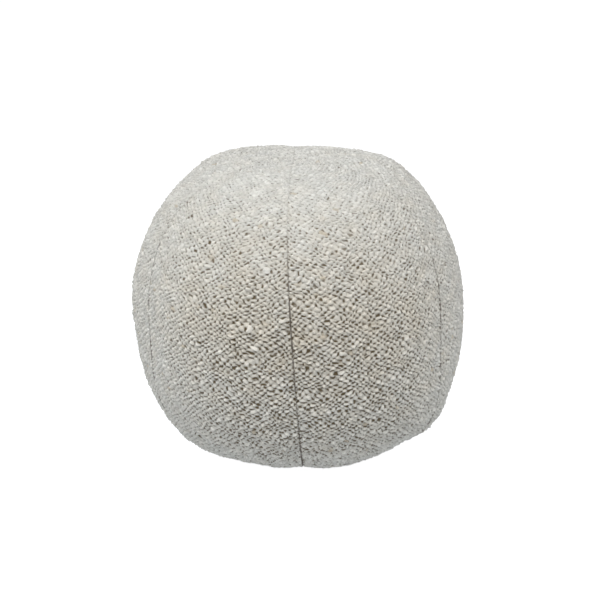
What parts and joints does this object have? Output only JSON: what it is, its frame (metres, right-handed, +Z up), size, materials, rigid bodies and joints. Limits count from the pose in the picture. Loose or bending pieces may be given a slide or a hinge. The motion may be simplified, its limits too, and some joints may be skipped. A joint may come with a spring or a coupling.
{
  "type": "ball pillow",
  "caption": "Round filled throw pillow of gore panels sewn from pole to pole, in a cream looped-yarn weave, resting on a flattened spot.",
  "frame": {"origin": "on the resting surface, straight below the middle of the girth, inside the flat spot", "axes": "+Z up out of the resting surface, +X to the right and -Y towards the front, where one seam runs down the middle"},
  "size_m": [0.2567, 0.2546, 0.2338],
  "materials": {
    "cover_cloth": "cream looped-yarn plain weave, pebbled, matt, with darker gaps between the yarns"
  },
  "bodies": {
    "root": {"filled_cover": "cover_cloth"}
  },
  "joints": []
}
